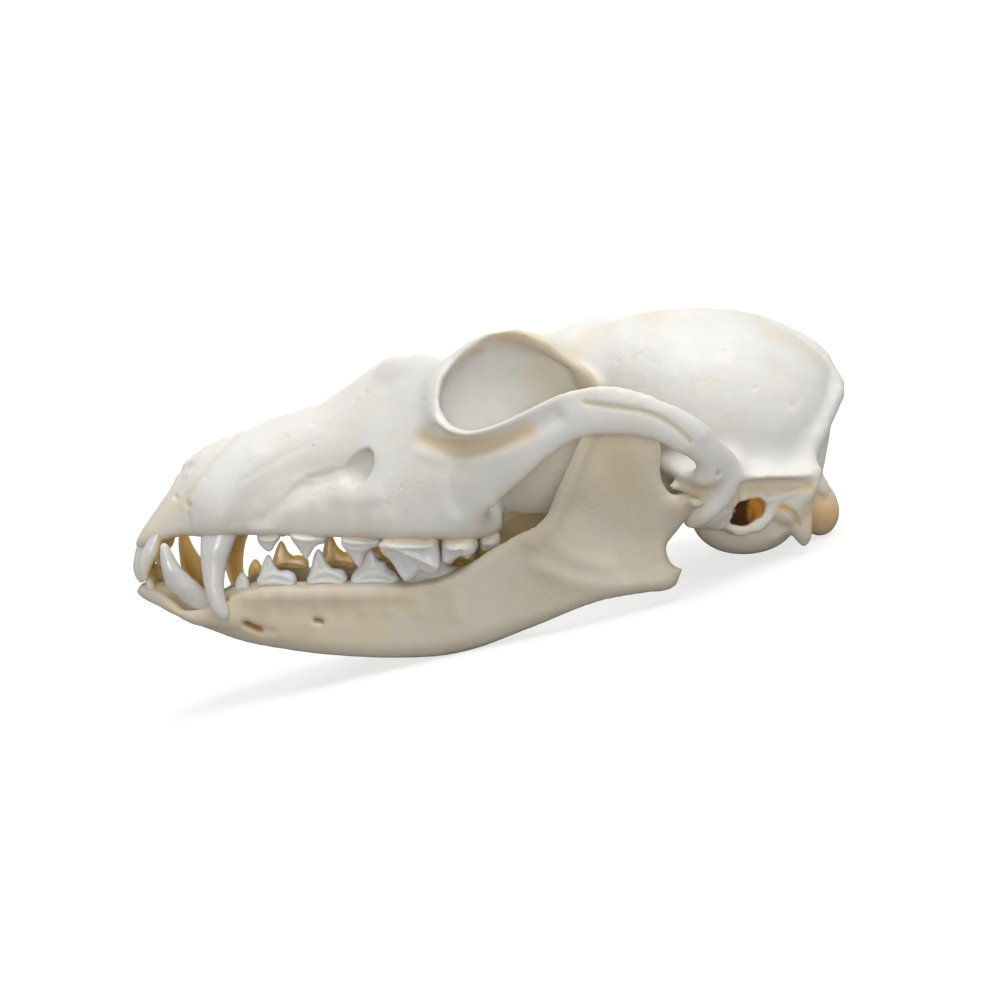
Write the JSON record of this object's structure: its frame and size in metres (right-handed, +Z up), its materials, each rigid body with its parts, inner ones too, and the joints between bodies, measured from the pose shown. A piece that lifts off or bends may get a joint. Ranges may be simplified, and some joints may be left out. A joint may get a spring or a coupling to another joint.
{
  "type": "fox skull",
  "caption": "Skull of a fox with its lower jaw closed and a full set of teeth, standing on the rear corners of the jaw and the condyles at the back.",
  "frame": {"origin": "middle of the bounding box, on the surface that the skull stands on", "axes": "+X runs from the snout to the back of the skull, +Y to the animal's right, +Z up"},
  "size_m": [0.1526, 0.079, 0.0601],
  "materials": {
    "skull_bone": "matte",
    "jaw_bone": "matte",
    "teeth": "satin"
  },
  "bodies": {
    "root": {"cranium": "skull_bone", "mandible_left": "jaw_bone", "mandible_right": "jaw_bone", "incisor_1_upper_left": "teeth", "incisor_1_upper_right": "teeth", "incisor_2_upper_left": "teeth", "incisor_2_upper_right": "teeth", "incisor_3_upper_left": "teeth", "incisor_3_upper_right": "teeth", "premolar_1_upper_left": "teeth", "premolar_1_upper_right": "teeth", "premolar_2_upper_left": "teeth", "premolar_2_upper_right": "teeth", "premolar_3_upper_left": "teeth", "premolar_3_upper_right": "teeth", "premolar_4_upper_left": "teeth", "premolar_4_upper_right": "teeth", "molar_1_upper_left": "teeth", "molar_1_upper_right": "teeth", "molar_2_upper_left": "teeth", "molar_2_upper_right": "teeth", "canine_upper_left": "teeth", "canine_upper_right": "teeth", "incisor_1_lower_left": "teeth", "incisor_1_lower_right": "teeth", "incisor_2_lower_left": "teeth", "incisor_2_lower_right": "teeth", "incisor_3_lower_left": "teeth", "incisor_3_lower_right": "teeth", "premolar_1_lower_left": "teeth", "premolar_1_lower_right": "teeth", "premolar_2_lower_left": "teeth", "premolar_2_lower_right": "teeth", "premolar_3_lower_left": "teeth", "premolar_3_lower_right": "teeth", "premolar_4_lower_left": "teeth", "premolar_4_lower_right": "teeth", "molar_1_lower_left": "teeth", "molar_1_lower_right": "teeth", "molar_2_lower_left": "teeth", "molar_2_lower_right": "teeth", "molar_3_lower_left": "teeth", "molar_3_lower_right": "teeth", "canine_lower_left": "teeth", "canine_lower_right": "teeth"}
  },
  "joints": []
}
